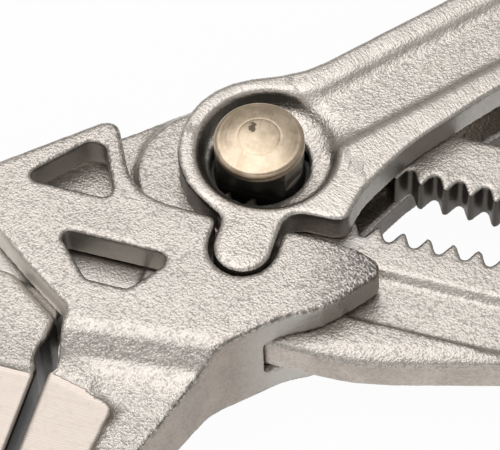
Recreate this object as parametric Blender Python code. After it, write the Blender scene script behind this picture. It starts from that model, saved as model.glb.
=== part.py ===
"""Push-button pliers wrench: two forged arms, a sliding parallel jaw and a sprung pivot button.

X runs along the toothed slot towards the handles, Y across it and Z along the pivot.
The pivot axis is x = y = 0, and z = 0 is the rear face that the tool lies on.
Sizes are in millimetres. MM turns them into metres where a vertex is made.
"""

from math import atan2, ceil, cos, hypot, pi, radians, sin, tan

import bmesh
import bpy
import numpy as np
from mathutils import Vector

MM = 0.001

# Thicknesses, stacked from the middle of the tool outwards.
PLATE_THICK = 6.0
RUN_GAP = 0.2
FLANK_THICK = 4.4
HEAD_THICK = PLATE_THICK + 2 * (RUN_GAP + FLANK_THICK)
MID = HEAD_THICK / 2
FORK_HALF = PLATE_THICK / 2 + RUN_GAP
EYE_FLOOR_THICK = 1.9
JAW_HALF = 5.1
PAD_HALF = 4.5
EDGE_ROUND = 0.8
SEAT_GAP = 0.3

# Toothed slot in the fixed arm.
TOOTH_PITCH = 3.25
ADJUST_STEPS = 14
TOOTH_TIP_HALF = 3.85
TOOTH_ROOT_HALF = 5.7
TOOTH_FLAT = 0.6
SLOT_END_GAP = 0.7
FIRST_ROOT_X = -4.55

# Pivot pin, button, spring and their rear closure.
SHOULDER_R = 6.7
SHOULDER_FLAT_HALF = 3.5
NECK_R = 5.6
NECK_FLAT_HALF = 3.4
BORE_R = 6.35
REAR_BORE_R = SHOULDER_R + SEAT_GAP
PRESS_TRAVEL = 3.1
SHOULDER_HIGH = PLATE_THICK / 2 - 0.1
SHOULDER_LOW = -2.6
NECK_TOP = 8.6
CAP_R = 5.7
CAP_THICK = 2.0
CAP_ROUND = 0.4
CAP_GAP = 0.2
SPIGOT_R = 1.9
SPIGOT_LONG = 2.6
SPRING_R = 1.65
SPRING_WIRE = 0.5
SPRING_TURNS = 7
SPRING_TOP = 3.4
PLUG_FLANGE_THICK = 0.8
PLUG_BOSS_R = 4.6
RING_THICK = 0.6
RING_IN_R = 5.2
RING_OUT_R = 7.5
RING_GAP_DEG = 40.0
PLUG_TOP = SHOULDER_LOW - PRESS_TRAVEL - SEAT_GAP

# Lever arm: eye round the pivot, lug below it and shank towards the handle.
EYE_X = 0.3
EYE_Y = 0.8
EYE_R = 10.8
RECESS_X = 0.85
RECESS_R = 8.75
SHANK_DEG = 48.5
SHANK_TOP = -7.3
SHANK_LOW = 7.9
SHANK_RIM = 3.35
PANEL_DEEP = 0.9
PANEL_ROUND = 0.7
FORK_ROOT = 34.0
HEAD_LONG = 64.0
LUG_X = 2.1
LUG_Y = -14.1
LUG_R = 3.75
LUG_GAP = 0.5
SOCKET_R = LUG_R + LUG_GAP

# Fixed arm and sliding jaw. The fixed jaw is a thicker block that steps up beside the sliding jaw's edge.
# The sliding jaw folds from one thickness to another along a line: the fold lists distances below
# that line, and half the thickness there.
ARM_TOP_Y = 12.5
ARM_LOW_Y = -24.0
GROOVE_TOP_Y = -10.8
GROOVE_LOW_Y = -17.5
GROOVE_DEEP = 0.75
BOSS_X = -5.6
BOSS_Y = -1.6
BOSS_R = 9.65
BOSS_STEP = 0.6
FIXED_FACE_X = -17.4
SLIDING_FACE_X = -15.9
JAW_TIP_Y = -60.0
JAW_TIP_ROUND = EDGE_ROUND + 0.4
JAW_ROOT_Y = -28.4
STEP_DEG = 35.0
STEP_GAP = 1.2
SLIDING_FOLD_DEG = 6.7
SLIDING_FOLD = ((1.0, MID), (1.5, MID - 0.05), (2.9, MID - 0.35), (3.3, MID - 0.55), (5.3, JAW_HALF + 0.85),
                (5.8, JAW_HALF + 0.65), (8.0, JAW_HALF + 0.3), (12.0, JAW_HALF))
PAD_TOP_Y = -36.6
RELIEF_TOP_Y = -30.2
RELIEF_LOW_Y = -35.3
FIXED_RELIEF = 0.65
SLIDING_RELIEF = 0.9
SLIDE_FLOOR_Y = ARM_LOW_Y - 0.6
CHANNEL_GAP = 0.1
WINDOW_LOW_Y = -11.8

# Handles and their dipped sleeves.
TANG_WIDE = 11.0
TANG_CORNER = 1.5
ARM_TANG_THICK = PLATE_THICK - 0.4
LEVER_TANG_THICK = 8.0
SLEEVE_THICK = 15.0
SLEEVE_WIDE = 21.0
LEVER_END_DEG = 14.0
LEVER_BEND_R = 80.0
LEVER_STRAIGHT = 95.0
ARM_TANG_X = 70.0
ARM_TANG_Y = 0.0
ARM_START_DEG = 3.0
ARM_END_DEG = 13.0
ARM_BEND_R = 300.0
ARM_STRAIGHT = 80.0
SLEEVE_CORNER = 6.0
SLEEVE_START = 1.5
SLEEVE_CAP = 6.0

SLOT_LOW_X = -SHOULDER_R - SLOT_END_GAP
SLOT_HIGH_X = SHOULDER_R + SLOT_END_GAP + ADJUST_STEPS * TOOTH_PITCH
SHANK = Vector((cos(radians(SHANK_DEG)), sin(radians(SHANK_DEG))))
SHANK_SIDE = Vector((SHANK.y, -SHANK.x))
ARC_STEP = radians(15)
ROUND_SIDES = 40
REACH = 200.0


def along(distance, offset):
    """A point on the shank: distance from the pivot, offset towards the lower edge."""
    point = SHANK * distance + SHANK_SIDE * offset
    return (point.x, point.y)


def rounded(corners):
    """The outline through (x, y, radius) corners, each rounded by an arc of its radius."""
    points = []
    for index, (x, y, radius) in enumerate(corners):
        here = Vector((x, y))
        back = (Vector(corners[index - 1][:2]) - here).normalized()
        ahead = (Vector(corners[(index + 1) % len(corners)][:2]) - here).normalized()
        turn = pi - back.angle(ahead)
        if radius == 0 or turn < 0.01:
            points.append((x, y))
            continue
        reach = radius * tan(turn / 2)
        middle = here + (back + ahead).normalized() * (radius / cos(turn / 2))
        start = here + back * reach - middle
        side = 1 if back.x * ahead.y - back.y * ahead.x < 0 else -1
        count = max(2, ceil(turn / ARC_STEP))
        angle = atan2(start.y, start.x)
        for step in range(count + 1):
            at = angle + side * turn * step / count
            points.append((middle.x + radius * cos(at), middle.y + radius * sin(at)))
    return points


def circle(radius, x=0.0, y=0.0, sides=ROUND_SIDES):
    turns = [2 * pi * i / sides for i in range(sides)]
    return [(x + radius * cos(a), y + radius * sin(a)) for a in turns]


def flatted(radius, half):
    """A circle with two flats, facing +Y and -Y."""
    edge = atan2(half, (radius * radius - half * half) ** 0.5)
    turns = [edge * (2 * i / 8 - 1) for i in range(9)]
    right = [(radius * cos(a), radius * sin(a)) for a in turns]
    return right + [(-x, -y) for x, y in right]


def round_off(mesh, rim, edge):
    bmesh.ops.bevel(mesh, geom=list(rim), offset=edge * MM, segments=2, affect="EDGES",
                    profile=0.5, clamp_overlap=True, material=-1)


def add_prism(mesh, outline, low, high, edge=0.0):
    """Extrudes an outline between two heights over the middle of the tool."""
    verts = [mesh.verts.new((x * MM, y * MM, (MID + low) * MM)) for x, y in outline]
    base = mesh.faces.new(verts)
    base.normal_update()
    if base.normal.z > 0:
        base.normal_flip()
    out = bmesh.ops.extrude_face_region(mesh, geom=[base], use_keep_orig=True)["geom"]
    moved = [part for part in out if isinstance(part, bmesh.types.BMVert)]
    bmesh.ops.translate(mesh, verts=moved, vec=(0, 0, (high - low) * MM))
    if edge:
        top = [part for part in out if isinstance(part, bmesh.types.BMFace)]
        round_off(mesh, {e for face in top + [base] for e in face.edges}, edge)


def finished(name, mesh):
    """Makes an object of the mesh, with its faces outwards and its round sides smooth."""
    bmesh.ops.recalc_face_normals(mesh, faces=mesh.faces)
    data = bpy.data.meshes.new(name)
    mesh.to_mesh(data)
    mesh.free()
    data.shade_smooth()
    data.set_sharp_from_angle(angle=radians(35))
    obj = bpy.data.objects.new(name, data)
    bpy.context.scene.collection.objects.link(obj)
    return obj


def prism(name, outline, low, high, edge=0.0):
    mesh = bmesh.new()
    add_prism(mesh, outline, low, high, edge)
    return finished(name, mesh)


def both_sides(name, outline, low, high, edge=0.0):
    """One helper of two like prisms, in front of the middle and behind it."""
    mesh = bmesh.new()
    add_prism(mesh, outline, low, high, edge)
    add_prism(mesh, outline, -high, -low, edge)
    return finished(name, mesh)


def folded(name, outline, start, heading, fold):
    """A rounded plate of which both faces fold along a line, from one thickness to another."""
    mesh = bmesh.new()
    add_prism(mesh, outline, -1, 1)
    below = Vector((sin(heading), -cos(heading)))
    for distance, _ in fold:
        point = (Vector(start) + below * distance) * MM
        parts = mesh.verts[:] + mesh.edges[:] + mesh.faces[:]
        bmesh.ops.bisect_plane(mesh, geom=parts, plane_co=(*point, 0), plane_no=(*below, 0))
    distances, halves = zip(*fold)
    for vert in mesh.verts:
        distance = (vert.co.xy / MM - Vector(start)).dot(below)
        half = float(np.interp(distance, distances, halves))
        vert.co.z = (MID + (half if vert.co.z > MID * MM else -half)) * MM
    mesh.normal_update()
    walls = {face for face in mesh.faces if abs(face.normal.z) < 0.5}
    rim = [edge for edge in mesh.edges if len(walls.intersection(edge.link_faces)) == 1]
    round_off(mesh, rim, EDGE_ROUND)
    return finished(name, mesh)


def turned(name, profile, x=0.0, y=0.0):
    """Spins a (radius, height) profile that starts and ends on an upright axis."""
    mesh = bmesh.new()
    verts = [mesh.verts.new(((x + r) * MM, y * MM, (MID + z) * MM)) for r, z in profile]
    edges = [mesh.edges.new(pair) for pair in zip(verts, verts[1:])]
    bmesh.ops.spin(mesh, geom=verts + edges, cent=(x * MM, y * MM, 0), axis=(0, 0, 1),
                   angle=2 * pi, steps=ROUND_SIDES, use_merge=True)
    bmesh.ops.remove_doubles(mesh, verts=mesh.verts, dist=1e-7)
    return finished(name, mesh)


def combine(target, helper, operation):
    """Joins a helper to a piece, or cuts it out or keeps what they share."""
    change = target.modifiers.new(helper.name, "BOOLEAN")
    change.operation = operation
    change.solver = "EXACT"
    change.object = helper
    helper.hide_render = True
    helper.display_type = "WIRE"


def bend(start, heading, end_heading, radius, straight):
    """(x, y, heading) stations of a handle: an arc, then a straight run."""
    x, y = start
    side = 1 if end_heading > heading else -1
    stations = [(x, y, heading)]
    count = 8
    for step in range(1, count + 1):
        at = heading + (end_heading - heading) * step / count
        stations.append((x + side * radius * (sin(at) - sin(heading)),
                         y - side * radius * (cos(at) - cos(heading)), at))
    x, y, at = stations[-1]
    for share in (0.25, 0.5, 0.75, 1.0):
        stations.append((x + straight * share * cos(at), y + straight * share * sin(at), at))
    return stations


def shifted(station, distance):
    x, y, heading = station
    return (x + distance * cos(heading), y + distance * sin(heading), heading)


def swept(name, stations, widths, thicks, corner):
    """Lofts a rounded bar through the stations, with a width and a thickness at each."""
    mesh = bmesh.new()
    rings = []
    for (x, y, heading), width, thick in zip(stations, widths, thicks):
        half_w = width / 2
        half_t = thick / 2
        turn_r = min(corner, half_w * 0.9, half_t * 0.9)
        section = rounded([(half_w, -half_t, turn_r), (half_w, half_t, turn_r),
                           (-half_w, half_t, turn_r), (-half_w, -half_t, turn_r)])
        verts = [mesh.verts.new(((x + s * sin(heading)) * MM, (y - s * cos(heading)) * MM,
                                 (MID + t) * MM)) for s, t in section]
        rings.append([mesh.edges.new((a, b)) for a, b in zip(verts, verts[1:] + verts[:1])])
    for first, second in zip(rings, rings[1:]):
        bmesh.ops.bridge_loops(mesh, edges=first + second)
    for ring in (rings[0], rings[-1]):
        bmesh.ops.contextual_create(mesh, geom=ring)
    return finished(name, mesh)


def painted(obj, colour, roughness, metallic):
    material = bpy.data.materials.new(obj.name)
    material.use_nodes = True
    shader = material.node_tree.nodes["Principled BSDF"]
    shader.inputs["Base Color"].default_value = (*colour, 1.0)
    shader.inputs["Roughness"].default_value = roughness
    shader.inputs["Metallic"].default_value = metallic
    obj.data.materials.append(material)
    obj.parent = tool


for old in list(bpy.data.objects):
    bpy.data.objects.remove(old)
tool = bpy.data.objects.new("pliers_wrench", None)
bpy.context.scene.collection.objects.link(tool)

FORGED = (0.60, 0.56, 0.52)
DARK_STEEL = (0.03, 0.03, 0.03)
SPRING_STEEL = (0.35, 0.34, 0.33)
CHAMPAGNE = (0.62, 0.50, 0.33)
SLEEVE_GREY = (0.05, 0.05, 0.055)

# Handle lines, shared by the tangs and their sleeves.
lever_line = bend(along(HEAD_LONG, 0), radians(SHANK_DEG), radians(LEVER_END_DEG),
                  LEVER_BEND_R, LEVER_STRAIGHT)
arm_line = bend((ARM_TANG_X, ARM_TANG_Y), radians(ARM_START_DEG), radians(ARM_END_DEG),
                ARM_BEND_R, ARM_STRAIGHT)

# Fixed arm: slot plate with its tang, and the thicker fixed jaw below it.
arm_outline = rounded([
    (-11.5, ARM_TOP_Y - 5.5, 6), (-19.0, 0.4, 3), (-33.0, -12.8, 4), (-35.4, -20.0, 2), (-33.0, -30.0, 0),
    (-20.0, -34.0, 0), (FIXED_FACE_X - 0.15, -32.0, 0),
    (FIXED_FACE_X - 0.15, ARM_LOW_Y, 0.5), (19.5, ARM_LOW_Y, 30), (44.0, -17.2, 30),
    (ARM_TANG_X, ARM_TANG_Y - TANG_WIDE / 2 + 1, 1), (ARM_TANG_X, ARM_TANG_Y + TANG_WIDE / 2 - 1, 1),
    (52.0, ARM_TOP_Y, 14), (-4.0, ARM_TOP_Y, 8)])
fixed_jaw_arm = prism("fixed_jaw_arm", arm_outline, -PLATE_THICK / 2, PLATE_THICK / 2, EDGE_ROUND)
step = radians(STEP_DEG)
step_left_x = -30.5
step_ys = [JAW_ROOT_Y + (SLIDING_FACE_X - x) * tan(step) - STEP_GAP / cos(step) for x in (FIXED_FACE_X, step_left_x)]
combine(fixed_jaw_arm, prism("fixed_jaw_block", rounded([
    (step_left_x, step_ys[1], 1.5), (-35.5, -20.5, 1.5), (-35.0, -33.0, 12), (-26.5, JAW_TIP_Y, 2),
    (FIXED_FACE_X, JAW_TIP_Y, JAW_TIP_ROUND), (FIXED_FACE_X, step_ys[0], JAW_TIP_ROUND)]),
    -JAW_HALF, JAW_HALF, EDGE_ROUND), "UNION")
arm_stations = [shifted(arm_line[0], -8)] + arm_line
arm_tang = swept("arm_tang", arm_stations, [TANG_WIDE] * len(arm_stations),
                 [ARM_TANG_THICK] * len(arm_stations), TANG_CORNER)
combine(fixed_jaw_arm, arm_tang, "UNION")
combine(fixed_jaw_arm, both_sides("fixed_pad_cut", rounded([
    (-27.0, PAD_TOP_Y, 2.5), (-27.0, -REACH, 0), (REACH, -REACH, 0), (REACH, PAD_TOP_Y, 0)]),
    PAD_HALF, REACH), "DIFFERENCE")
relief_x = FIXED_FACE_X - FIXED_RELIEF
combine(fixed_jaw_arm, prism("fixed_root_relief", rounded([
    (FIXED_FACE_X + 1, RELIEF_TOP_Y + 0.3, 0), (relief_x, (RELIEF_TOP_Y + RELIEF_LOW_Y) / 2, 2.0),
    (relief_x, RELIEF_LOW_Y, 0.4), (FIXED_FACE_X + 1, RELIEF_LOW_Y - 1.4, 0)]), -REACH, REACH), "DIFFERENCE")
boss_turns = [radians(120 + 6 * i) for i in range(22)]
boss_edge = [(BOSS_X + BOSS_R * cos(a), BOSS_Y + BOSS_R * sin(a)) for a in boss_turns]
boss_low = (boss_edge[-1][0], ARM_LOW_Y)
boss_surround = [boss_low, (-REACH, ARM_LOW_Y), (-REACH, REACH), (boss_edge[0][0], REACH)] + boss_edge
combine(fixed_jaw_arm, both_sides("boss_surround_cut", boss_surround, PLATE_THICK / 2 - BOSS_STEP, REACH),
        "DIFFERENCE")
combine(fixed_jaw_arm, both_sides("groove_cut", [
    (-REACH, GROOVE_TOP_Y), (ARM_TANG_X - 4, GROOVE_TOP_Y), (ARM_TANG_X - 4, GROOVE_LOW_Y),
    (-REACH, GROOVE_LOW_Y)], PLATE_THICK / 2 - GROOVE_DEEP, REACH), "DIFFERENCE")
upper_edge = [(SLOT_LOW_X, TOOTH_TIP_HALF - 0.4)]
root_x = FIRST_ROOT_X
while root_x + TOOTH_PITCH / 2 < SLOT_HIGH_X - 1.0:
    upper_edge += [(root_x - TOOTH_FLAT / 2, TOOTH_ROOT_HALF), (root_x + TOOTH_FLAT / 2, TOOTH_ROOT_HALF)]
    tip_x = root_x + TOOTH_PITCH / 2
    upper_edge += [(tip_x - TOOTH_FLAT / 2, TOOTH_TIP_HALF), (tip_x + TOOTH_FLAT / 2, TOOTH_TIP_HALF)]
    root_x += TOOTH_PITCH
upper_edge.append((SLOT_HIGH_X, TOOTH_TIP_HALF - 0.4))
slot_outline = upper_edge + [(x, -y) for x, y in reversed(upper_edge)]
combine(fixed_jaw_arm, prism("slot_cut", slot_outline, -REACH, REACH), "DIFFERENCE")
painted(fixed_jaw_arm, FORGED, 0.35, 1.0)

# Lever arm: forked head with a recessed eye, lug, recessed shank panel and tang.
lever_outline = rounded([
    (*along(HEAD_LONG, SHANK_TOP), 3), (2.0, 13.5, 14), (EYE_X - EYE_R, 7.7, EYE_R - 0.1),
    (EYE_X - EYE_R, -5.4, EYE_R - 0.1), (LUG_X - LUG_R, -10.6, 1.2),
    (LUG_X - LUG_R, LUG_Y - LUG_R, LUG_R - 0.02), (LUG_X + LUG_R, LUG_Y - LUG_R, LUG_R - 0.02),
    (LUG_X + LUG_R, -7.6, 2.2), (13.3, -7.1, 1.6), (13.8, -2.3, 12), (17.5, 5.8, 30),
    (*along(30, SHANK_LOW), 60), (*along(HEAD_LONG, SHANK_LOW), 3)])
lever_arm = prism("lever_arm", lever_outline, -MID, MID, EDGE_ROUND)
panel_top = SHANK_TOP + SHANK_RIM
panel_low = SHANK_LOW - SHANK_RIM
combine(lever_arm, both_sides("panel_cut", rounded([
    (*along(4, panel_top), 0), (*along(HEAD_LONG - 3, panel_top), 2.5),
    (*along(HEAD_LONG - 3, panel_low), 2.5), (*along(4, panel_low), 0)]),
    MID - PANEL_DEEP, REACH, PANEL_ROUND), "DIFFERENCE")
combine(lever_arm, turned("eye_recess", [
    (0.0, FORK_HALF + EYE_FLOOR_THICK), (RECESS_R - 0.6, FORK_HALF + EYE_FLOOR_THICK),
    (RECESS_R, MID - 0.5), (RECESS_R + 0.6, MID + 0.1), (RECESS_R + 0.6, MID + 5), (0.0, MID + 5)],
    RECESS_X, EYE_Y), "DIFFERENCE")
combine(lever_arm, prism("pivot_bore", circle(BORE_R), 0, REACH), "DIFFERENCE")
ring_low = -MID + 0.1
ring_high = ring_low + RING_THICK
combine(lever_arm, turned("rear_bore", [
    (0.0, -MID - 5), (REAR_BORE_R, -MID - 5), (REAR_BORE_R, ring_low - 0.05),
    (RING_OUT_R + SEAT_GAP, ring_low - 0.05), (RING_OUT_R + SEAT_GAP, ring_high + 0.1),
    (REAR_BORE_R, ring_high + 0.1), (REAR_BORE_R, 0.0), (0.0, 0.0)]), "DIFFERENCE")
combine(lever_arm, prism("fork_gap", [
    along(-REACH, -REACH), along(FORK_ROOT, -REACH), along(FORK_ROOT, REACH), along(-REACH, REACH)],
    -FORK_HALF, FORK_HALF), "DIFFERENCE")
lever_stations = [shifted(lever_line[0], -8)] + lever_line
combine(lever_arm, swept("lever_tang", lever_stations, [TANG_WIDE] * len(lever_stations),
                         [LEVER_TANG_THICK] * len(lever_stations), TANG_CORNER), "UNION")
painted(lever_arm, FORGED, 0.35, 1.0)

# Sliding jaw: two flanks and a floor round the fixed arm, folding down to the ground jaw below.
flank_outline = rounded([
    (-35.5, -14.3, 2.2), (-22.6, -23.8, 12), (SLIDING_FACE_X, JAW_ROOT_Y, JAW_TIP_ROUND),
    (SLIDING_FACE_X, JAW_TIP_Y, JAW_TIP_ROUND), (-7.2, JAW_TIP_Y, 2), (3.3, -29.2, 6), (9.6, -22.9, 12),
    (14.2, -20.3, 10), (20.3, -12.3, 1.8), (15.2, -10.5, 8), (LUG_X + SOCKET_R, -10.3, 1.0),
    (LUG_X + SOCKET_R, LUG_Y - SOCKET_R, SOCKET_R - 0.02),
    (LUG_X - SOCKET_R, LUG_Y - SOCKET_R, SOCKET_R - 0.02), (LUG_X - SOCKET_R, -10.9, 1.2),
    (-13.4, -10.3, 8), (-18.4, -0.4, 1.6), (-20.4, -1.0, 1.6)])
sliding_jaw = folded("sliding_jaw", flank_outline, (SLIDING_FACE_X, JAW_ROOT_Y), radians(SLIDING_FOLD_DEG),
                     SLIDING_FOLD)
channel_x = SLIDING_FACE_X + CHANNEL_GAP
combine(sliding_jaw, prism("slide_channel", [
    (-REACH, JAW_ROOT_Y - EDGE_ROUND), (channel_x, JAW_ROOT_Y - EDGE_ROUND), (channel_x, SLIDE_FLOOR_Y),
    (REACH, SLIDE_FLOOR_Y), (REACH, REACH), (-REACH, REACH)], -FORK_HALF, FORK_HALF), "DIFFERENCE")
combine(sliding_jaw, both_sides("sliding_pad_cut", rounded([
    (SLIDING_FACE_X - 5, PAD_TOP_Y + 1.7, 0), (SLIDING_FACE_X - 5, JAW_TIP_Y - 5, 0),
    (-8.9, JAW_TIP_Y - 5, 0), (-6.4, PAD_TOP_Y - 1.9, 1.8)]), PAD_HALF, REACH), "DIFFERENCE")
combine(sliding_jaw, prism("sliding_root_relief", rounded([
    (SLIDING_FACE_X - 1, RELIEF_TOP_Y, 0), (SLIDING_FACE_X, RELIEF_TOP_Y, 0),
    (SLIDING_FACE_X + SLIDING_RELIEF, RELIEF_LOW_Y, 0.4), (SLIDING_FACE_X + 0.5, RELIEF_LOW_Y - 0.7, 0.4),
    (SLIDING_FACE_X - 1, RELIEF_LOW_Y - 1.6, 0)]), -REACH, REACH), "DIFFERENCE")
combine(sliding_jaw, both_sides("upper_window", rounded([
    (-27.6, WINDOW_LOW_Y, 1.0), (-15.2, WINDOW_LOW_Y, 1.2), (-18.9, -4.2, 1.2), (-21.0, -4.2, 1.0)]),
    FORK_HALF - 1, REACH), "DIFFERENCE")
combine(sliding_jaw, both_sides("lower_window", rounded([
    (-21.0, -17.7, 0.9), (-15.0, -23.9, 1.2), (-9.6, -23.9, 1.2), (-5.3, -17.7, 1.2)]),
    FORK_HALF - 1, REACH), "DIFFERENCE")
ribs = bmesh.new()
rib_low = PLATE_THICK / 2 - GROOVE_DEEP + SEAT_GAP
rib_top_y = GROOVE_TOP_Y - SEAT_GAP
rib_low_y = GROOVE_LOW_Y + SEAT_GAP
left_rib_top_y = WINDOW_LOW_Y - SEAT_GAP
left_rib = [(-24.0, rib_low_y), (-4.0, rib_low_y), (-4.0, left_rib_top_y), (-24.0, left_rib_top_y)]
right_rib = [(8.0, rib_low_y), (16.2, rib_low_y), (19.2, -13.0), (18.6, -12.2), (15.0, rib_top_y), (8.0, rib_top_y)]
for rib in (left_rib, right_rib):
    add_prism(ribs, rib, rib_low, FORK_HALF + 1)
    add_prism(ribs, rib, -FORK_HALF - 1, -rib_low)
combine(sliding_jaw, finished("guide_ribs", ribs), "UNION")
painted(sliding_jaw, FORGED, 0.35, 1.0)

# Locking pin: flatted shoulder in the slot, flatted neck through the eye, bored for the spring.
locking_pin = prism("locking_pin", flatted(SHOULDER_R, SHOULDER_FLAT_HALF), SHOULDER_LOW, SHOULDER_HIGH)
combine(locking_pin, prism("pin_neck", flatted(NECK_R, NECK_FLAT_HALF), SHOULDER_HIGH - 1, NECK_TOP), "UNION")
combine(locking_pin, prism("spring_hole", circle(SPRING_R + SPRING_WIRE + 0.2, sides=20),
                           SHOULDER_LOW - 5, SPRING_TOP + SEAT_GAP), "DIFFERENCE")
combine(locking_pin, prism("spigot_hole", circle(SPIGOT_R + SEAT_GAP, sides=20),
                           NECK_TOP - SPIGOT_LONG - SEAT_GAP, NECK_TOP + 5), "DIFFERENCE")
painted(locking_pin, DARK_STEEL, 0.45, 1.0)

# Button cap: a turned disc with a rounded rim, a slight dome and a spigot in the pin.
cap_low = NECK_TOP + CAP_GAP
cap_high = cap_low + CAP_THICK
button_cap = turned("button_cap", [
    (0.0, NECK_TOP - SPIGOT_LONG), (SPIGOT_R, NECK_TOP - SPIGOT_LONG), (SPIGOT_R, cap_low),
    (CAP_R - 0.15, cap_low), (CAP_R, cap_low + 0.15), (CAP_R, cap_high - CAP_ROUND),
    (CAP_R - CAP_ROUND * 0.3, cap_high - CAP_ROUND * 0.3), (CAP_R - CAP_ROUND, cap_high),
    (CAP_R * 0.5, cap_high + 0.12), (0.0, cap_high + 0.18)])
painted(button_cap, CHAMPAGNE, 0.3, 1.0)

# Return spring: one wound wire between the plug and the pin, its ends run out along the axis.
spring_low = PLUG_TOP + 0.1
lead = SPRING_WIRE
wound = SPRING_TOP - spring_low - 2 * lead
per_turn = 10
count = SPRING_TURNS * per_turn
wire = [(SPRING_R * cos(2 * pi * i / per_turn), SPRING_R * sin(2 * pi * i / per_turn),
         spring_low + lead + wound * i / count) for i in range(count + 1)]
wire = [(SPRING_R, 0.0, spring_low)] + wire + [(*wire[-1][:2], SPRING_TOP)]
least = min(hypot(hypot(a[0] - b[0], a[1] - b[1]), a[2] - b[2]) for i, a in enumerate(wire)
            for b in wire[i + per_turn // 2 + 1:]) - SPRING_WIRE
print(f"return_spring: least gap to itself {least:.2f} mm")
curve = bpy.data.curves.new("return_spring", "CURVE")
curve.dimensions = "3D"
curve.bevel_depth = SPRING_WIRE / 2 * MM
curve.bevel_resolution = 1
curve.use_fill_caps = True
spline = curve.splines.new("POLY")
spline.points.add(len(wire) - 1)
for point, (x, y, z) in zip(spline.points, wire):
    point.co = (x * MM, y * MM, (MID + z) * MM, 1)
return_spring = bpy.data.objects.new("return_spring", curve)
bpy.context.scene.collection.objects.link(return_spring)
painted(return_spring, SPRING_STEEL, 0.35, 1.0)

# Spring plug: flange under the spring, and a boss through the ring to the rear face.
plug_low = PLUG_TOP - PLUG_FLANGE_THICK
spring_plug = turned("spring_plug", [
    (0.0, -MID), (PLUG_BOSS_R - 0.3, -MID), (PLUG_BOSS_R, -MID + 0.3), (PLUG_BOSS_R, plug_low),
    (SHOULDER_R, plug_low), (SHOULDER_R, PLUG_TOP), (0.0, PLUG_TOP)])
painted(spring_plug, DARK_STEEL, 0.4, 1.0)

# Retaining ring: a split flat ring sprung into the groove of the rear bore.
half_gap = radians(RING_GAP_DEG / 2)
sweep = [half_gap + (2 * pi - 2 * half_gap) * i / 36 for i in range(37)]
ring_outline = [(RING_OUT_R * cos(a), RING_OUT_R * sin(a)) for a in sweep]
ring_outline += [(RING_IN_R * cos(a), RING_IN_R * sin(a)) for a in reversed(sweep)]
retaining_ring = prism("retaining_ring", ring_outline, ring_low, ring_high)
painted(retaining_ring, SPRING_STEEL, 0.4, 1.0)


def sleeve(name, line, tang_thick):
    """A dipped sleeve over a tang, swelling at the hand and closed by a rounded end."""
    body = [shifted(line[0], SLEEVE_START)] + line[1:]
    last = len(body) - 1
    swell = [0.84 + 0.16 * sin(pi * (0.15 + 0.85 * i / last)) for i in range(last + 1)]
    ends = [(SLEEVE_CAP * sin(a), cos(a)) for a in (radians(30), radians(55), radians(75))]
    stations = body + [shifted(line[-1], reach) for reach, _ in ends]
    shares = swell + [swell[-1] * (0.45 + 0.55 * share) for _, share in ends]
    thicks = [1.0] * len(body) + [0.45 + 0.55 * share for _, share in ends]
    grip = swept(name, stations, [SLEEVE_WIDE * share for share in shares],
                 [SLEEVE_THICK * share for share in thicks], SLEEVE_CORNER)
    hollow = [shifted(line[0], -SLEEVE_START)] + line[1:-1] + [shifted(line[-1], SEAT_GAP)]
    combine(grip, swept(name + "_hollow", hollow, [TANG_WIDE + 2 * SEAT_GAP] * len(hollow),
                        [tang_thick + 2 * SEAT_GAP] * len(hollow), TANG_CORNER), "DIFFERENCE")
    painted(grip, SLEEVE_GREY, 0.6, 0.0)


sleeve("main_handle_sleeve", arm_line, ARM_TANG_THICK)
sleeve("lever_handle_sleeve", lever_line, LEVER_TANG_THICK)
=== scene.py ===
from math import cos, pi, radians, sin

import bmesh
import bpy
import numpy as np
from mathutils import Matrix, Vector, noise


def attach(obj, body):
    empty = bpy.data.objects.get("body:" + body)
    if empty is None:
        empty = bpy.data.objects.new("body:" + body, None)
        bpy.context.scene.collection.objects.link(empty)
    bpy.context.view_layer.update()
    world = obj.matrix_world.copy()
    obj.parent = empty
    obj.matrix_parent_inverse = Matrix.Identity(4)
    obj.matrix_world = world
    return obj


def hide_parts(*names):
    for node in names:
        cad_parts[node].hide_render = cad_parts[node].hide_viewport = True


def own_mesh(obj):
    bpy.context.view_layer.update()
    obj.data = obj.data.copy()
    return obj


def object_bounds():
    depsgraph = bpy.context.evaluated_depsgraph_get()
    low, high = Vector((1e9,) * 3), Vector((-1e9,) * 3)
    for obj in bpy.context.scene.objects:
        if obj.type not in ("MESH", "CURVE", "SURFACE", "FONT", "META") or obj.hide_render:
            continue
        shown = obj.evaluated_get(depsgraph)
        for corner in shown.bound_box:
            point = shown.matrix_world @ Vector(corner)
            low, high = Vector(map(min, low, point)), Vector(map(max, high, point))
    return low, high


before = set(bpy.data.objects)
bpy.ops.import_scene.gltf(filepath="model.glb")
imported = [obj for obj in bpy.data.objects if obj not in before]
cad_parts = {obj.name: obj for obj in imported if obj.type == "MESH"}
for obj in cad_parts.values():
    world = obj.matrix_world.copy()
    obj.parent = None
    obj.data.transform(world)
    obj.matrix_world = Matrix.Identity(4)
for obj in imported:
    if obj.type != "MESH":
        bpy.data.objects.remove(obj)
cad_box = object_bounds()
scene = bpy.context.scene
scene.view_settings.view_transform = "Standard"

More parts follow.
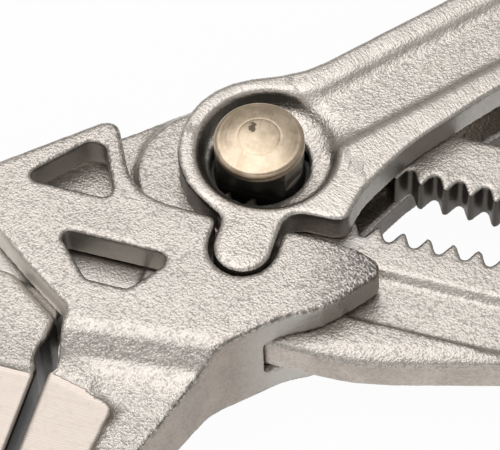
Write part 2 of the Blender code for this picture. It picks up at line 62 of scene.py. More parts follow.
# Camera: a long lens over the near side of the head, as in the photograph.
# It looks down 56 degrees and stands 0.45 m from the point in the picture's middle.
MM = 0.001
aim = Vector((1.536, -9.345, 12.7)) * MM
swing = Matrix.Rotation(radians(18.7), 4, "Z")
off_upright = Matrix.Rotation(radians(34.0), 4, "X")
roll = Matrix.Rotation(radians(-2.3), 4, "Z")
turn = swing @ off_upright @ roll
stand = 450 * MM
seen_wide = 62 * MM
film_wide = 36
lens = bpy.data.cameras.new("camera")
lens.sensor_width = film_wide
lens.lens = film_wide * stand / seen_wide
lens.clip_start = 0.01
camera = bpy.data.objects.new("camera", lens)
camera.matrix_world = Matrix.Translation(aim + turn @ Vector((0, 0, stand))) @ turn
scene.collection.objects.link(camera)
scene.camera = camera

# Fixed jaw arm: one steel drop forging with the toothed slot, guide groove and fixed jaw.
# It is bead blasted and nickel plated, so its faces are grained and its edges soft.
# The face of the jaw and the pads on both sides of its tip are ground flat.
mid_z = 7.6 * MM
forging_voxel = 0.3 * MM
forging_triangles = 130000
long_wave, long_wave_high = 5 * MM, 0.05 * MM
short_wave, short_wave_high = 1.6 * MM, 0.02 * MM
pad_low, pad_high = 4.35 * MM, 4.65 * MM
bank_low, bank_high = 4.62 * MM, 6.2 * MM
bank_top = -34 * MM


def settle(piece):
    """Puts the result of the piece's modifiers into its mesh."""
    graph = bpy.context.evaluated_depsgraph_get()
    solid = bpy.data.meshes.new_from_object(piece.evaluated_get(graph))
    piece.modifiers.clear()
    piece.data = solid


def copied(node, name):
    """A piece of its own with a node's solid, closed along all its edges."""
    piece = bpy.data.objects.new(name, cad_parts[node].data.copy())
    scene.collection.objects.link(piece)
    mesh = bmesh.new()
    mesh.from_mesh(piece.data)
    bmesh.ops.remove_doubles(mesh, verts=mesh.verts, dist=1e-6)
    mesh.to_mesh(piece.data)
    mesh.free()
    piece.data.materials.clear()
    return piece


def skin(piece, voxel, passes):
    """Draws one even skin over the piece and softens its edges."""
    cover = piece.modifiers.new("skin", "REMESH")
    cover.mode = "VOXEL"
    cover.voxel_size = voxel
    soften = piece.modifiers.new("soften", "SMOOTH")
    soften.factor = 0.5
    soften.iterations = passes
    settle(piece)


def points(mesh, field):
    """The places or the normals of all points of a mesh."""
    values = np.empty(len(mesh.vertices) * 3)
    mesh.vertices.foreach_get(field, values)
    return values.reshape(-1, 3)


def place(mesh, co):
    mesh.vertices.foreach_set("co", co.ravel())
    mesh.update()


def mark(mesh, name, values):
    """Keeps one number for each point, which the finish reads."""
    layer = mesh.attributes.new(name, "FLOAT", "POINT")
    layer.data.foreach_set("value", values.astype(np.float32))


def ramp(values, start, end):
    """Rises smoothly from 0 at the start to 1 at the end, which may be the lower of the two."""
    share = np.clip((values - start) / (end - start), 0, 1)
    return share * share * (3 - 2 * share)


def near_mean(mesh, values):
    """The mean of the values at the points next to each point."""
    pairs = np.empty(len(mesh.edges) * 2, dtype=np.int64)
    mesh.edges.foreach_get("vertices", pairs)
    first, second = pairs.reshape(-1, 2).T
    total = np.zeros_like(values)
    np.add.at(total, first, values[second])
    np.add.at(total, second, values[first])
    return (total.T / np.bincount(pairs, minlength=len(values))).T


def melt(mesh, share, passes):
    """Rounds off corners further where share is above nothing."""
    co = points(mesh, "co")
    for _ in range(passes):
        co += (near_mean(mesh, co) - co) * (0.5 * share)[:, None]
    place(mesh, co)


def uneven(mesh, ground):
    """Gives forged faces the slight waves of a die, but leaves ground ones flat."""
    co = points(mesh, "co")
    height = np.array([noise.noise(Vector(p) / long_wave) for p in co]) * long_wave_high
    height += np.array([noise.noise(Vector(p) / short_wave) for p in co]) * short_wave_high
    place(mesh, co + points(mesh, "normal") * (height * (1 - ground))[:, None])


def mark_form(mesh, bank, bitten, shade_share, painted_shadow=0):
    """Marks rounded-off edges, hollow corners, which get painted shade, and upright walls. Bitten edges lost
    more plate. A painted shadow spot can be laid into the hollows as well.
    """
    co = points(mesh, "co")
    normals = points(mesh, "normal")
    bulge = ((co - near_mean(mesh, co)) * normals).sum(1)
    for _ in range(3):
        bulge = near_mean(mesh, bulge)
    mark(mesh, "edge", ramp(bulge, 0.005 * MM, 0.022 * MM) * (0.2 + 0.8 * bitten))
    mark(mesh, "hollow", np.maximum(ramp(bulge, -0.003 * MM, -0.02 * MM) * shade_share, painted_shadow))
    mark(mesh, "wall", ramp(np.abs(normals[:, 2]), 0.6, 0.25) * (1 - 0.75 * bank))


def mark_streaks(mesh, fine_way, long_way, share):
    """Marks where a face was dressed, and the ways across and along the strokes."""
    path = np.stack([fine_way, long_way, np.zeros_like(share)], 1) / MM
    layer = mesh.attributes.new("stroke_path", "FLOAT_VECTOR", "POINT")
    layer.data.foreach_set("vector", path.astype(np.float32).ravel())
    mark(mesh, "stroked", share)


def thin(piece, triangles):
    """Spends fewer faces where the skin is flat."""
    cut = piece.modifiers.new("thin", "DECIMATE")
    cut.ratio = triangles / (2 * len(piece.data.polygons))
    settle(piece)
    piece.data.shade_smooth()


def node_tree(name):
    material = bpy.data.materials.new(name)
    material.use_nodes = True
    tree = material.node_tree
    return material, tree, tree.nodes["Principled BSDF"]


def wire(tree, kind, inputs=None, **settings):
    """Adds a node, sets its properties and sets or joins its inputs."""
    node = tree.nodes.new(kind)
    for key, value in settings.items():
        setattr(node, key, value)
    for key, value in (inputs or {}).items():
        if isinstance(value, bpy.types.NodeSocket):
            tree.links.new(value, node.inputs[key])
        else:
            node.inputs[key].default_value = value
    return node


def maths(tree, operation, *values):
    """Adds a sum on numbers and sockets."""
    return wire(tree, "ShaderNodeMath", dict(enumerate(values)), operation=operation).outputs[0]


def faded(tree, mask, share):
    """A mask at part of its strength."""
    return maths(tree, "MULTIPLY", mask, share)


def blended(tree, factor, low, high):
    """Mixes two colours."""
    node = wire(tree, "ShaderNodeMix", {"Factor": factor}, data_type="RGBA")
    for key, value in ((6, low), (7, high)):
        if isinstance(value, bpy.types.NodeSocket):
            tree.links.new(value, node.inputs[key])
        else:
            node.inputs[key].default_value = (*value, 1)
    return node.outputs[2]


def stepped(tree, socket, low, high):
    """Stretches the span from low to high over 0 to 1."""
    return wire(tree, "ShaderNodeMapRange", {"Value": socket, "From Min": low, "From Max": high},
                interpolation_type="SMOOTHSTEP").outputs[0]


def number(tree, name):
    """Reads a number that was marked on the mesh."""
    return wire(tree, "ShaderNodeAttribute", attribute_name=name).outputs["Fac"]


def speckled(tree, spot, scale, detail):
    inputs = {"Vector": spot, "Scale": scale, "Detail": detail, "Roughness": 0.6}
    return wire(tree, "ShaderNodeTexNoise", inputs).outputs[0]


def blasted_nickel(name, wall_dark, wall_pale, ragged, face_tone_share):
    """Nickel plate over a blasted forging: grained faces, plainer trimmed walls, ground pads.
    The walls' darker tone is partly the trimmed finish and partly painted shade.
    Ragged walls end unevenly along the strokes that dressed the face above.
    Painted shade darkens hollows, slot walls and jaw faces; painted light and a painted highlight brighten
    some walls and flats."""
    # Each forging's face colours are scaled by its own share.
    pitted = np.array((0.43, 0.395, 0.36)) * face_tone_share
    plated = np.array((0.61, 0.567, 0.52)) * face_tone_share
    coarse_pale = (0.74, 0.69, 0.64)
    coarse_worn = (0.12, 0.11, 0.105)
    wall_pitted = [0.5 * share for share in wall_dark]
    deep_shade_dark = (0.075, 0.065, 0.055)
    painted_light_pale = (0.50, 0.48, 0.445)
    bright_spot_white = (0.93, 0.895, 0.85)
    bitten_dark = (0.2, 0.175, 0.155)
    # Dark brown for painted shade in hollow corners.
    painted_shade_dark = (0.16, 0.14, 0.12)
    ground_dark = (0.48, 0.42, 0.37)
    ground_pale = (0.55, 0.485, 0.435)
    ground_face_shade = (0.05, 0.046, 0.042)
    drift_far = (0.3 * MM, 0.3 * MM, 0.3 * MM)
    coarse_spot = (0.6 * MM, 0.27 * MM, 0.4 * MM)
    coarse_turn = (0, 0, radians(-49))
    lay_turn = (0, 0, radians(-4))
    relief_high = 0.105 * MM

    material, tree, shader = node_tree(name)
    spot = wire(tree, "ShaderNodeTexCoord").outputs["Object"]
    wall = number(tree, "wall")
    pad = number(tree, "pad")
    coarse = number(tree, "coarse")
    brightened = number(tree, "brightened")

    drift = wire(tree, "ShaderNodeTexNoise", {"Vector": spot, "Scale": 1700.0}).outputs["Color"]
    shifted = wire(tree, "ShaderNodeVectorMath", {0: drift, 1: drift_far, 2: spot},
                   operation="MULTIPLY_ADD").outputs[0]
    pebble = wire(tree, "ShaderNodeTexVoronoi", {"Vector": shifted, "Scale": 2700.0, "Smoothness": 0.4},
                  feature="SMOOTH_F1").outputs["Distance"]
    grain = maths(tree, "MULTIPLY_ADD", speckled(tree, spot, 1100.0, 2.0), 0.4, 0.17)
    grain = maths(tree, "MULTIPLY_ADD", speckled(tree, spot, 4200.0, 2.0), 0.5, grain)
    grain = maths(tree, "MULTIPLY_ADD", pebble, -0.34, grain)
    path = wire(tree, "ShaderNodeAttribute", attribute_name="stroke_path").outputs["Vector"]
    run = wire(tree, "ShaderNodeMapping", {"Vector": path, "Scale": (3.2, 0.5, 1.0)}).outputs[0]
    stroke = speckled(tree, run, 1.0, 2.0)
    stroked = faded(tree, number(tree, "stroked"), 0.4)
    grain = wire(tree, "ShaderNodeMix", {"Factor": stroked, "A": grain, "B": stroke}).outputs[0]
    if ragged:
        frayed = maths(tree, "ADD", wall, maths(tree, "MULTIPLY_ADD", stroke, 1.4, -0.7))
        wall = stepped(tree, frayed, 0.3, 0.7)
    slanted = wire(tree, "ShaderNodeMapping", {"Vector": spot, "Rotation": coarse_turn, "Scale": coarse_spot},
                   vector_type="TEXTURE").outputs[0]
    rough_spots = speckled(tree, slanted, 1.0, 2.0)
    roughened = faded(tree, coarse, 0.7)
    grain = wire(tree, "ShaderNodeMix", {"Factor": roughened, "A": grain, "B": rough_spots}).outputs[0]

    pits = stepped(tree, grain, 0.3, 0.47)
    face = blended(tree, pits, pitted, plated)
    face = blended(tree, faded(tree, coarse, 0.6), face, coarse_pale)
    worn = maths(tree, "MULTIPLY", coarse, stepped(tree, grain, 0.53, 0.44))
    face = blended(tree, faded(tree, worn, 0.85), face, coarse_worn)
    cloud = speckled(tree, spot, 160.0, 3.0)
    # Steep walls get a darker tone, partly their trimmed finish and partly painted shade.
    trimmed_and_shaded = blended(tree, stepped(tree, cloud, 0.3, 0.7), wall_dark, wall_pale)
    wall_pits = faded(tree, stepped(tree, grain, 0.5, 0.36), 0.25)
    trimmed_and_shaded = blended(tree, wall_pits, trimmed_and_shaded, wall_pitted)
    # Slot walls and shaded walls of the lever turn near black: painted shade.
    trimmed_and_shaded = blended(tree, number(tree, "deep_shade"), trimmed_and_shaded, deep_shade_dark)
    # Walls that lie in shade are painted paler: painted light.
    trimmed_and_shaded = blended(tree, number(tree, "painted_wall_light"), trimmed_and_shaded, painted_light_pale)
    # Brightened spots turn nearly white: a ring round the lever's bore, and painted light and a painted
    # highlight on the arm and the jaw.
    colour = blended(tree, brightened, blended(tree, wall, face, trimmed_and_shaded), bright_spot_white)
    speckle = maths(tree, "MULTIPLY", number(tree, "edge"), stepped(tree, grain, 0.53, 0.43))
    colour = blended(tree, faded(tree, speckle, 0.7), colour, bitten_dark)
    # Hollow corners are darkened towards dark brown: painted shade.
    colour = blended(tree, faded(tree, number(tree, "hollow"), 0.45), colour, painted_shade_dark)

    lay = wire(tree, "ShaderNodeMapping", {"Vector": spot, "Rotation": lay_turn,
                                           "Scale": (60.0, 6000.0, 400.0)}).outputs[0]
    passes = wire(tree, "ShaderNodeTexWave", {"Vector": lay, "Scale": 0.19, "Distortion": 3.0, "Detail": 2.0},
                  bands_direction="Y").outputs["Fac"]
    lines = maths(tree, "MULTIPLY_ADD", passes, 0.4, faded(tree, speckled(tree, lay, 1.0, 2.0), 0.6))
    ground = blended(tree, stepped(tree, lines, 0.35, 0.65), ground_dark, ground_pale)
    # Upright ground faces, the jaw faces deep in the narrow gap, are painted near black: painted shade.
    ground = blended(tree, wall, ground, ground_face_shade)
    tree.links.new(blended(tree, pad, colour, ground), shader.inputs["Base Color"])
    shader.inputs["Metallic"].default_value = 1.0
    gloss = maths(tree, "MULTIPLY_ADD", wall, 0.06, maths(tree, "MULTIPLY_ADD", pits, -0.05, 0.38))
    gloss = maths(tree, "MULTIPLY_ADD", brightened, 0.12, gloss)
    tree.links.new(gloss, shader.inputs["Roughness"])

    depth = maths(tree, "MULTIPLY", maths(tree, "SUBTRACT", 1.0, faded(tree, wall, 0.6)),
                  maths(tree, "SUBTRACT", 1.0, pad))
    depth = maths(tree, "MULTIPLY", depth, maths(tree, "MULTIPLY_ADD", coarse, 3.2, 1.0))
    depth = maths(tree, "MULTIPLY", depth, maths(tree, "MULTIPLY_ADD", brightened, -0.6, 1.0))
    pad_relief = maths(tree, "MULTIPLY", faded(tree, lines, 0.05), pad)
    relief = maths(tree, "MULTIPLY_ADD", grain, depth, pad_relief)
    bump = wire(tree, "ShaderNodeBump", {"Height": relief, "Strength": 1.0, "Distance": relief_high})
    tree.links.new(bump.outputs["Normal"], shader.inputs["Normal"])
    return material


def dress(piece, node, body, triangles, material):
    """Thins the skin, keeps it inside the CAD box and hands the piece over in place of its node."""
    thin(piece, triangles)
    place(piece.data, np.clip(points(piece.data, "co"), *cad_box))
    piece.data.materials.append(material)
    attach(piece, body)
    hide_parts(node)


def soften_bank(mesh, beside_pad):
    """Melts the low bank round a ground pad into the blasted face above it."""
    co = points(mesh, "co")
    off_mid = np.abs(co[:, 2] - mid_z)
    bank = beside_pad * (off_mid > bank_low) * (off_mid < bank_high)
    melt(mesh, bank.astype(float), 6)
    return bank


def level_with_pad(co):
    """Which points lie at the height of the ground pads."""
    off_mid = np.abs(co[:, 2] - mid_z)
    return (off_mid > pad_low) & (off_mid < pad_high)


def off_outline(co, corners):
    """How far each point lies from a closed outline, seen from above."""
    nearest = np.full(len(co), np.inf)
    for start, end in zip(corners, corners[1:] + corners[:1]):
        start = np.array(start) * MM
        side = np.array(end) * MM - start
        share = np.clip(((co[:, :2] - start) @ side) / (side @ side), 0, 1)
        nearest = np.minimum(nearest, np.linalg.norm(co[:, :2] - start - share[:, None] * side, axis=1))
    return nearest


plate_half = 3.0 * MM
groove_half = plate_half - 0.75 * MM
groove_top = -10.8 * MM
groove_middle = -14.2 * MM
groove_low = -17.5 * MM
groove_start = -18 * MM
slope_wide = 1.1 * MM
low_slope_wide = 0.12 * MM
arm_low = -24.0 * MM
arm_bend = 17.0 * MM
arm_rise = 0.26
arm_end = 60 * MM
roll_wide = 3.0 * MM
roll_deep = 0.16
roll_full = -6 * MM
bank_left = -30 * MM
slot_half = 7.5 * MM
slot_start = -9 * MM
pad_top, pad_left = -36.9 * MM, -26.8 * MM
face_top, face_left, face_half = -28.6 * MM, -18.3 * MM, 4.4 * MM
gap_half = 5.0 * MM
flank_line = [(-35.5, -14.3), (-15.9, -28.5)]
# Where a painted highlight lies on the arm, beside the slot's left end.
painted_glint_line = [(13.7, -7.5), (15.2, -6.4)]
window_middle = -20.7 * MM
grind = radians(24)
# Wall tones, partly the trimmed finish and partly painted shade.
arm_wall_dark = (0.46, 0.405, 0.355)
arm_wall_pale = (0.57, 0.51, 0.455)


def low_edge(co):
    """Where the arm's lower edge runs: straight, then rising towards the handle."""
    return arm_low + np.clip(co[:, 0] - arm_bend, 0, None) * arm_rise


fixed_arm = copied("fixed_jaw_arm", "fixed_arm_forging")
skin(fixed_arm, forging_voxel, 1)
co = points(fixed_arm.data, "co")
x, y, z = co.T
up_slope = np.clip((y - groove_top) / slope_wide, 0, 1)
down_slope = np.clip((groove_low - y) / low_slope_wide, 0, 1)
most = groove_half + (plate_half - groove_half) * np.maximum(up_slope, down_slope)
sloped = (y > groove_low - low_slope_wide) & (y < groove_top + slope_wide) & (x > groove_start)
half = np.where(sloped, np.clip(z - mid_z, -most, most), z - mid_z)
past = 1 - np.clip((y - low_edge(co)) / roll_wide, 0, 1)
past *= ramp(x, -16 * MM, roll_full) * (x < arm_end)
co[:, 2] = mid_z + half * (1 - roll_deep * past ** 1.6)
place(fixed_arm.data, co)
skin(fixed_arm, forging_voxel, 3)
co = points(fixed_arm.data, "co")
x, y, z = co.T
rolled = ramp(np.abs(y - low_edge(co) - 0.4 * MM), 2.4 * MM, 1.2 * MM)
rolled *= ramp(x, -14 * MM, roll_full) * (x < arm_end)
melt(fixed_arm.data, rolled, 14)
co = points(fixed_arm.data, "co")
x, y, z = co.T
bank = soften_bank(fixed_arm.data, (y < bank_top) & (x > bank_left))
on_pad = (y < pad_top) & (x > pad_left) & level_with_pad(co)
on_face = (y < face_top) & (x > face_left) & (np.abs(z - mid_z) < face_half)
ground = (on_pad | on_face).astype(float)
uneven(fixed_arm.data, ground)
on_slope = (np.abs(y - groove_top - 0.5 * slope_wide) < slope_wide) & (x > bank_left)
bitten = ramp(y, -17 * MM, -19 * MM) * (0.5 * ramp(x, 12 * MM, 24 * MM)) - 0.25
mark_form(fixed_arm.data, bank | on_slope, bitten, 0.3)
mark(fixed_arm.data, "pad", ground)
in_groove = ramp(np.abs(y - groove_middle), 3.6 * MM, 3.0 * MM) * (x > -20 * MM)
mark(fixed_arm.data, "coarse", ramp(y, -30 * MM, -36 * MM) * 0.3 - in_groove * 0.1)
above_groove = ramp(y, groove_top, groove_top + slope_wide) * (x > 6 * MM)
mark_streaks(fixed_arm.data, x * sin(grind) + y * cos(grind), x * cos(grind), 0.45 * above_groove)
# Painted light along the jaw's flank, a painted highlight beside the slot's left end, and painted light on
# the plate seen through the lower window.
beside_flank = ramp(off_outline(co, flank_line), 1.9 * MM, 1.5 * MM)
beside_flank *= 0.6 * (np.abs(z - mid_z) < gap_half)
painted_glint = 0.8 * ramp(off_outline(co, painted_glint_line), 0.9 * MM, 0.3 * MM)
under_window = 0.35 * ramp(np.abs(y - window_middle), 3.6 * MM, 2.6 * MM) * ramp(x, 2 * MM, -5 * MM)
mark(fixed_arm.data, "brightened", np.maximum(np.maximum(beside_flank, painted_glint), under_window))
# The walls of the toothed slot are painted near black as shade.
in_slot = (np.abs(y) < slot_half) & (x > slot_start) & (x < arm_end)
mark(fixed_arm.data, "deep_shade", in_slot.astype(float))
arm_nickel = blasted_nickel("arm_nickel", arm_wall_dark, arm_wall_pale, False, 0.94)
dress(fixed_arm, "fixed_jaw_arm", "fixed_arm", forging_triangles, arm_nickel)

# Lever arm: the second forging, forked over the fixed arm, with the pivot eye and the driving lug.
# Its rims were dressed across their run, which left fine streaks; its long panel is left blasted and bare.
shank_turn = radians(48.5)
shank_x, shank_y = cos(shank_turn), sin(shank_turn)
shank_start = 9
upper_bank_across, lower_bank_across = -4.2, 4.55
recess_x, recess_r = 0.85, 9.2
eye_x, eye_y = 0.3, 0.8
eye_turn_long = 10
bore_r = 6.5
# Wall tones, partly the trimmed finish and partly painted shade.
lever_wall_dark = (0.27, 0.253, 0.23)
lever_wall_pale = (0.38, 0.352, 0.32)
lever = copied("lever_arm", "lever_forging")
skin(lever, forging_voxel, 4)
co = points(lever.data, "co") / MM
x, y, z = co.T
run = x * shank_x + y * shank_y
across = x * shank_y - y * shank_x
off_mid = np.abs(z - mid_z / MM)
recess_far = np.hypot(x - recess_x, y)
high = ramp(off_mid, 3.0, 4.5)
upper_bank = ramp(np.abs(across - upper_bank_across), 2.4, 1.2) * ramp(run, 5, 9)
melt(lever.data, upper_bank * high, 36)
lower_bank = ramp(np.abs(across - lower_bank_across), 1.4, 0.7) * ramp(run, 8, 11)
melt(lever.data, lower_bank * high, 11)
threshold = ramp(np.abs(recess_far - recess_r), 3.0, 1.6) * ramp(run, 3, 6) * ramp(np.abs(across), 5, 3.4)
melt(lever.data, threshold * high, 60)
lug_edge = ramp(y, -8, -9.5) * ramp(across, 20, 18) * ramp(off_mid, 5.2, 6.0) * (run < 2)
melt(lever.data, lug_edge, 8)
uneven(lever.data, np.zeros(len(co)))
mark_form(lever.data, 0, 0, 1.0)
round_eye = np.arctan2(y - eye_y, x - eye_x) * eye_turn_long
radius = np.hypot(x - eye_x, y - eye_y)
on_shank = run > shank_start
beside_panel = (across < -3.6) | (across > 4.2)
outer = np.where(on_shank, beside_panel, (radius > 8.4) & (y > -9))
fine_way = np.where(on_shank, run, round_eye) * MM
long_way = np.where(on_shank, across, radius) * MM
mark_streaks(lever.data, fine_way, long_way, outer * ramp(off_mid, 6.0, 7.0))
# The lever's rear leg and the wall left of the eye are painted near black as shade.
rear_leg = 0.85 * ramp(z, 6, 5) * ramp(x, 6, 10)
left_wall = 0.9 * ramp(y, 4, -3) * ramp(x, 0, -2) * (radius > 9.3)
mark(lever.data, "deep_shade", np.maximum(left_wall, rear_leg))
# The far wall of the recess and the shank's wall are painted paler: painted light.
far_wall = 0.6 * (recess_far < 9.5) * ramp(y, -1, 4)
shank_wall = 0.5 * ramp(run, shank_start, 14) * (across > 2) * (z > 7)
mark(lever.data, "painted_wall_light", np.maximum(shank_wall, far_wall))
bore_edge = ramp(np.abs(np.hypot(x, y) - bore_r), 0.4, 0.2)
mark(lever.data, "brightened", 0.8 * bore_edge * ramp(off_mid, 4.2, 4.8))
lever_nickel = blasted_nickel("lever_nickel", lever_wall_dark, lever_wall_pale, True, 1.05)
dress(lever, "lever_arm", "lever", forging_triangles, lever_nickel)

# Sliding jaw: the third forging, a box round the fixed arm with two windows and the lug's socket.
# Its fold leads down to the jaw, which is ground flat on its face and on both sides of its tip.
pad_line_x, pad_line_y, pad_slant = -20.9 * MM, -34.9 * MM, 0.248
sunk_share = 0.9
pad_level = 4.6 * MM
jaw_pad_top, jaw_pad_right = -36.2 * MM, -6.0 * MM
jaw_face_top, jaw_face_right, jaw_face_half = -30 * MM, -15.75 * MM, 4.9 * MM
jaw_bank_right = -4 * MM
fold_x, fold_y, fold_slant = -15.9 * MM, -32.4 * MM, 0.117
upper_window = [(-27.6, -11.8), (-15.2, -11.8), (-18.9, -4.2), (-21.0, -4.2)]
lower_window = [(-21.0, -17.7), (-15.0, -23.9), (-9.6, -23.9), (-5.3, -17.7)]
# The line beside the pad's upper right corner where a shadow is painted.
painted_shadow_line = [(-6.0, -39.3), (-6.3, -41.0)]
face_line = flank_line + [(-15.9, -34.8)]
# Wall tones, partly the trimmed finish and partly painted shade.
jaw_wall_dark = (0.325, 0.275, 0.235)
jaw_wall_pale = (0.395, 0.335, 0.285)
jaw = copied("sliding_jaw", "sliding_jaw_forging")
skin(jaw, forging_voxel, 4)
co = points(jaw.data, "co")
x, y, z = co.T
over_pad = y - pad_line_y + pad_slant * (x - pad_line_x)
sunk = ramp(over_pad, 3.4 * MM, -0.1 * MM) * (over_pad > -0.5 * MM) * ramp(x, -8.3 * MM, -11 * MM)
half = z - mid_z
deep = np.clip(np.abs(half) - pad_level, 0, None) * (np.abs(half) < bank_high)
co[:, 2] -= np.sign(half) * deep * sunk * sunk_share
place(jaw.data, co)
bank = soften_bank(jaw.data, (y < bank_top) & (x < jaw_bank_right))
on_pad = (y < jaw_pad_top) & (x < jaw_pad_right) & level_with_pad(co)
on_face = (y < jaw_face_top) & (x < jaw_face_right) & (np.abs(z - mid_z) < jaw_face_half)
ground = (on_pad | on_face).astype(float)
uneven(jaw.data, ground)
off_window = np.minimum(off_outline(co, upper_window), off_outline(co, lower_window))
corner = ramp(y, -10.5 * MM, -9 * MM) * ramp(x, -19.5 * MM, -18.5 * MM)
bitten = np.maximum(ramp(x * 1.2 - y, 13 * MM, 20 * MM), 0.8 * corner)
bitten = np.maximum(bitten, 0.6 * ramp(off_window, 1.6 * MM, 1.0 * MM))
# A soft painted shadow beside the pad's upper right corner, added to the hollows' shade.
painted_shadow = 1.7 * ramp(off_outline(co, painted_shadow_line), 1.2 * MM, 0.2 * MM) * (1 - ground)
mark_form(jaw.data, bank, bitten, 1.0, painted_shadow)
mark(jaw.data, "pad", ground)
fold_middle = fold_y + fold_slant * (x - fold_x)
on_fold = 0.35 * ramp(np.abs(y - fold_middle), 2.0 * MM, 0.8 * MM)
below_fold = 0.2 * ramp(y, -34.5 * MM, -37 * MM)
at_tip = ramp(x * 0.8 + y * 0.2, 3 * MM, 12.5 * MM)
mark(jaw.data, "coarse", np.maximum(np.maximum(at_tip, on_fold), below_fold))
# The window walls and the walls at the tip are painted paler: painted light.
in_window = ramp(off_window, 0.9 * MM, 0.6 * MM)
mark(jaw.data, "painted_wall_light", np.maximum(in_window, ramp(x, 3 * MM, 11 * MM)))
# Painted light on the upright walls along the jaw's flank.
upright = ramp(np.abs(points(jaw.data, "normal")[:, 2]), 0.7, 0.4)
mark(jaw.data, "brightened", ramp(off_outline(co, face_line), 1.3 * MM, 0.9 * MM) * upright)
jaw_nickel = blasted_nickel("jaw_nickel", jaw_wall_dark, jaw_wall_pale, False, 0.97)
dress(jaw, "sliding_jaw", "moving_jaw", forging_triangles, jaw_nickel)

# Locking pin: turned steel with flats, which passes through the slot and carries the button.
# It is blackened, and one flat under the button is rubbed down to bare steel.
pin_voxel = 0.13 * MM
pin_triangles = 30000
flat_turn = radians(-20)
flat_x, flat_y = cos(flat_turn), sin(flat_turn)
flat_off = 5.25 * MM
flat_low = 13 * MM
oxide_dark = (0.012, 0.011, 0.009)
oxide_pale = (0.035, 0.031, 0.026)
bare_steel = (0.30, 0.275, 0.25)
pin = copied("locking_pin", "pin_blackened")
skin(pin, pin_voxel, 3)
co = points(pin.data, "co")
x, y, z = co.T
beyond = np.clip(x * flat_x + y * flat_y - flat_off, 0, None) * (z > flat_low)
co[:, 0] -= beyond * flat_x
co[:, 1] -= beyond * flat_y
place(pin.data, co)
mark(pin.data, "flat", ramp(beyond, 0.0, 0.05 * MM))
black_steel, tree, shader = node_tree("blackened_steel")
spot = wire(tree, "ShaderNodeTexCoord").outputs["Object"]
mottle = speckled(tree, spot, 500.0, 4.0)
blackened = blended(tree, mottle, oxide_dark, oxide_pale)
brightened = number(tree, "flat")
tree.links.new(blended(tree, brightened, blackened, bare_steel), shader.inputs["Base Color"])
tree.links.new(brightened, shader.inputs["Metallic"])
tree.links.new(stepped(tree, mottle, -0.3, 1.6), shader.inputs["Roughness"])
turning = wire(tree, "ShaderNodeMapping", {"Vector": spot, "Scale": (60.0, 60.0, 4000.0)}).outputs[0]
bump = wire(tree, "ShaderNodeBump", {"Height": speckled(tree, turning, 1.0, 2.0), "Strength": 0.3,
                                     "Distance": 0.02 * MM})
tree.links.new(bump.outputs["Normal"], shader.inputs["Normal"])
dress(pin, "locking_pin", "button", pin_triangles, black_steel)

# Button cap: a brass-toned disc turned on a lathe, with a low dome, a rolled rim and a fine ring.
# A short stem fixes it in the pin, and a struck mark lies beside its middle.
cap_r = 5.7
cap_low = 16.4
cap_top = 18.57
cap_chamfer, cap_wall_low = 0.2, 0.25
dome_r = 24.0
stem_r = 1.9
stem_low = 13.6
rim_start = 5.05
rim_wide, rim_high, rim_arc = 0.65, 0.6, 1.35
ring_outer, ring_floor_outer, ring_floor_inner, ring_inner = 2.82, 2.74, 2.66, 2.58
ring_deep = 0.014
dome_middle = 2.4
around = 96
struck_at = (-1.1 * MM, 1.1 * MM, 0.0)
brass_dull = (0.50, 0.40, 0.29)
brass_bright = (0.68, 0.555, 0.42)
scratch_dark = (0.3, 0.24, 0.17)
struck_dark = (0.07, 0.05, 0.035)


def dome(r):
    """The height of the dome at a distance from its middle."""
    return cap_top - r * r / (2 * dome_r)


rim_top = dome(rim_start)
profile = [(0.0, stem_low), (stem_r, stem_low), (stem_r, cap_low)]
profile += [(cap_r - cap_chamfer, cap_low), (cap_r, cap_low + cap_wall_low)]
profile += [(rim_start + rim_wide * cos(a), rim_top - rim_high + rim_high * sin(a))
            for a in np.linspace(0, rim_arc, 9)]
profile += [(r, dome(r)) for r in np.linspace(rim_start, ring_outer, 10)]
profile += [(r, dome(r) - ring_deep) for r in (ring_floor_outer, ring_floor_inner)]
profile += [(ring_inner, dome(ring_inner))]
profile += [(r, dome(r)) for r in np.linspace(dome_middle, 0.0, 10)]
cap = bmesh.new()
verts = [cap.verts.new((r * MM, 0, z * MM)) for r, z in profile]
edges = [cap.edges.new(pair) for pair in zip(verts, verts[1:])]
bmesh.ops.spin(cap, geom=verts + edges, cent=(0, 0, 0), axis=(0, 0, 1), angle=2 * pi, steps=around,
               use_merge=True)
bmesh.ops.remove_doubles(cap, verts=cap.verts, dist=1e-7)
bmesh.ops.recalc_face_normals(cap, faces=cap.faces)
cap_mesh = bpy.data.meshes.new("button")
cap.to_mesh(cap_mesh)
cap.free()
cap_mesh.shade_smooth()
cap_mesh.set_sharp_from_angle(angle=radians(50))
button = bpy.data.objects.new("button", cap_mesh)
scene.collection.objects.link(button)
turned_brass, tree, shader = node_tree("turned_brass")
spot = wire(tree, "ShaderNodeTexCoord").outputs["Object"]
flat_spot = wire(tree, "ShaderNodeVectorMath", {0: spot, 1: (1.0, 1.0, 0.0)},
                 operation="MULTIPLY").outputs[0]
reach = wire(tree, "ShaderNodeVectorMath", {0: flat_spot}, operation="LENGTH").outputs["Value"]
tool_marks = wire(tree, "ShaderNodeTexNoise", {"W": reach, "Scale": 3400.0, "Detail": 3.0},
                  noise_dimensions="1D").outputs[0]
tarnish = speckled(tree, spot, 420.0, 4.0)
drawn_out = wire(tree, "ShaderNodeMapping", {"Vector": spot, "Rotation": (0, 0, radians(35)),
                                             "Scale": (2600.0, 160.0, 400.0)}).outputs[0]
scratch = speckled(tree, drawn_out, 1.0, 3.0)
brass = blended(tree, stepped(tree, tarnish, 0.35, 0.65), brass_dull, brass_bright)
brass = blended(tree, faded(tree, stepped(tree, scratch, 0.56, 0.7), 0.35), brass, scratch_dark)
from_mark = wire(tree, "ShaderNodeVectorMath", {0: flat_spot, 1: struck_at}, operation="DISTANCE")
